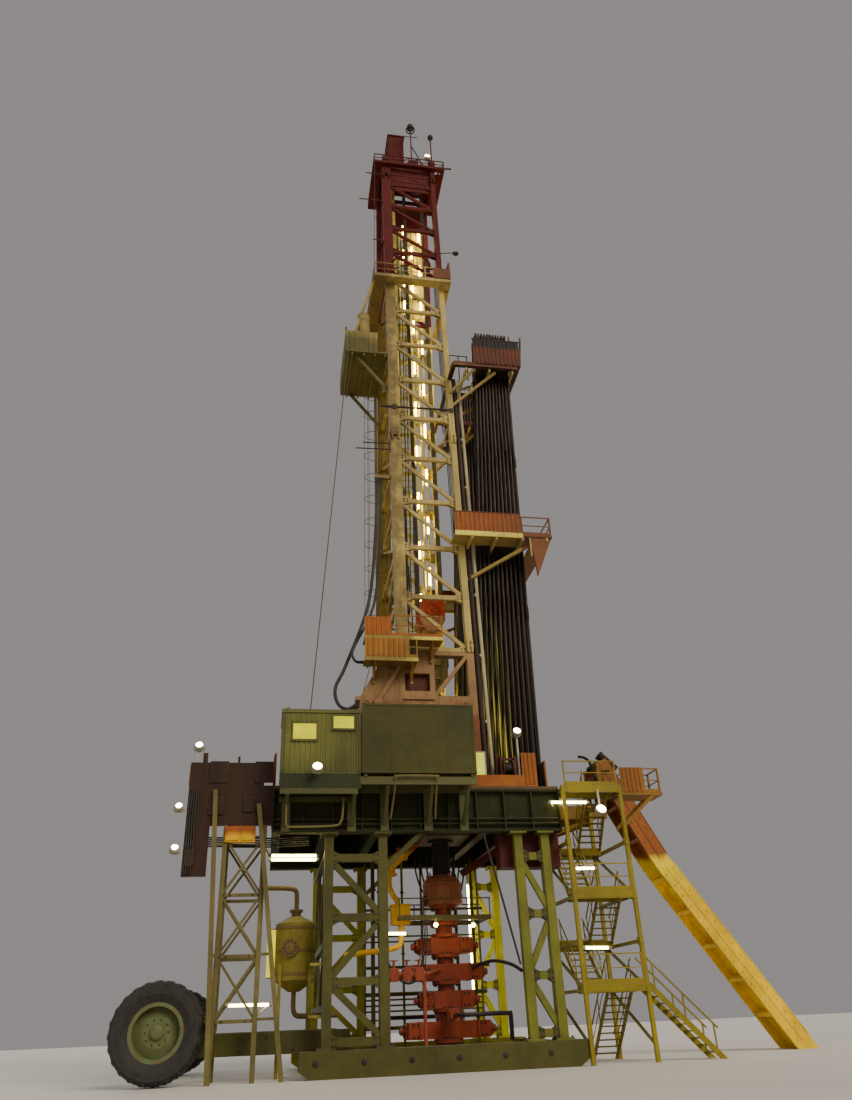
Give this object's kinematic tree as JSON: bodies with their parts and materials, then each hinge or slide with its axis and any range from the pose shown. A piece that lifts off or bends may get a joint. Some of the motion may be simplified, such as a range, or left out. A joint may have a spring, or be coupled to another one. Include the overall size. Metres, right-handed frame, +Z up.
{
  "type": "oil drilling rig, 1:2 scale model",
  "caption": "Land drilling rig, half-size model: lattice mast with travelling block and racked pipe on a raised floor with cabins, stairs, pipe slide, preventer stack and wheels.",
  "frame": {"origin": "on the ground at the centre of the well, under the preventer stack", "axes": "+Z up, +X from the drawworks towards the pipe slide, +Y from the cabin side to the far side"},
  "size_m": [15.1986, 6.1893, 30.206],
  "materials": {
    "bop_red_paint": "semi-gloss, dusty",
    "cabin_green_paint": "satin, dusty",
    "cream_paint": "satin, weathered and rust-streaked",
    "dark_green_paint": "satin, dusty and worn along the edges",
    "dark_red_paint": "satin, weathered",
    "dark_steel": "oily dark steel",
    "deck_steel": "worn chequer plate",
    "green_paint": "satin, dusty and rust-streaked",
    "hose_rubber": "matt",
    "lamp_housing": "satin with lit lens",
    "orange_paint": "satin, scuffed",
    "tyre_rubber": "dusty tread",
    "wire_rope": "greased wire rope",
    "yellow_paint": "satin, scraped by pipe"
  },
  "bodies": {
    "rig": {"skid_near": "green_paint", "skid_far": "green_paint", "skid_ties": "green_paint", "sub_rear_near": "green_paint", "sub_rear_far": "green_paint", "sub_front_near": "green_paint", "sub_front_far": "green_paint", "sub_cross_brace": "green_paint", "girder_near": "dark_green_paint", "girder_far": "dark_green_paint", "floor_beams_rear": "dark_green_paint", "floor_beams_front": "dark_green_paint", "drill_floor": "deck_steel", "rotary_table": "deck_steel", "floor_windwall": "orange_paint", "floor_winch": "orange_paint", "doghouse_walls": "green_paint", "doghouse_floor": "deck_steel", "doghouse_roof": "green_paint", "plain_cabin": "cabin_green_paint", "cabin_brackets": "green_paint", "drawworks": "orange_paint", "mast_base_near": "cream_paint", "mast_base_far": "cream_paint", "mast_side_near": "cream_paint", "mast_side_far": "cream_paint", "mast_back": "cream_paint", "mast_top_near": "dark_red_paint", "mast_top_far": "dark_red_paint", "mast_top_back": "dark_red_paint", "crown_block": "dark_red_paint", "crown_platform": "dark_red_paint", "upper_platform": "cream_paint", "stabbing_basket": "cream_paint", "racking_board": "cream_paint", "mid_platform": "cream_paint", "lower_platform": "orange_paint", "guide_rails": "cream_paint", "standpipe": "dark_steel", "drilling_lines": "wire_rope", "racked_pipe_near": "dark_steel", "racked_pipe_far": "dark_steel", "rear_tower": "green_paint", "rear_platform": "deck_steel", "separator_tank": "cream_paint", "blowout_preventer": "bop_red_paint", "stair_tower": "green_paint", "stair_landings": "green_paint", "stair_flights": "green_paint", "front_porch": "orange_paint", "pipe_slide": "yellow_paint", "wheel_frame": "green_paint", "hose_long": "hose_rubber", "hose_short": "hose_rubber", "tool_line": "wire_rope", "floodlights": "lamp_housing"},
    "block": {"travelling_block": "orange_paint", "top_drive": "cream_paint"},
    "near_wheel": {"wheel_near": "tyre_rubber"},
    "far_wheel": {"wheel_far": "tyre_rubber"}
  },
  "joints": [
    {"name": "block_travel", "type": "slide", "parent": "rig", "child": "block", "axis": [0, 0, 1], "range_m": [0, 11], "deforming": ["drilling_lines"]},
    {"name": "near_wheel_turn", "type": "hinge", "parent": "rig", "child": "near_wheel", "pos_m": [-5.9, -2.3, 0.87], "axis": [0, 1, 0], "continuous": true},
    {"name": "far_wheel_turn", "type": "hinge", "parent": "rig", "child": "far_wheel", "pos_m": [-5.9, 2.3, 0.87], "axis": [0, 1, 0], "continuous": true}
  ]
}
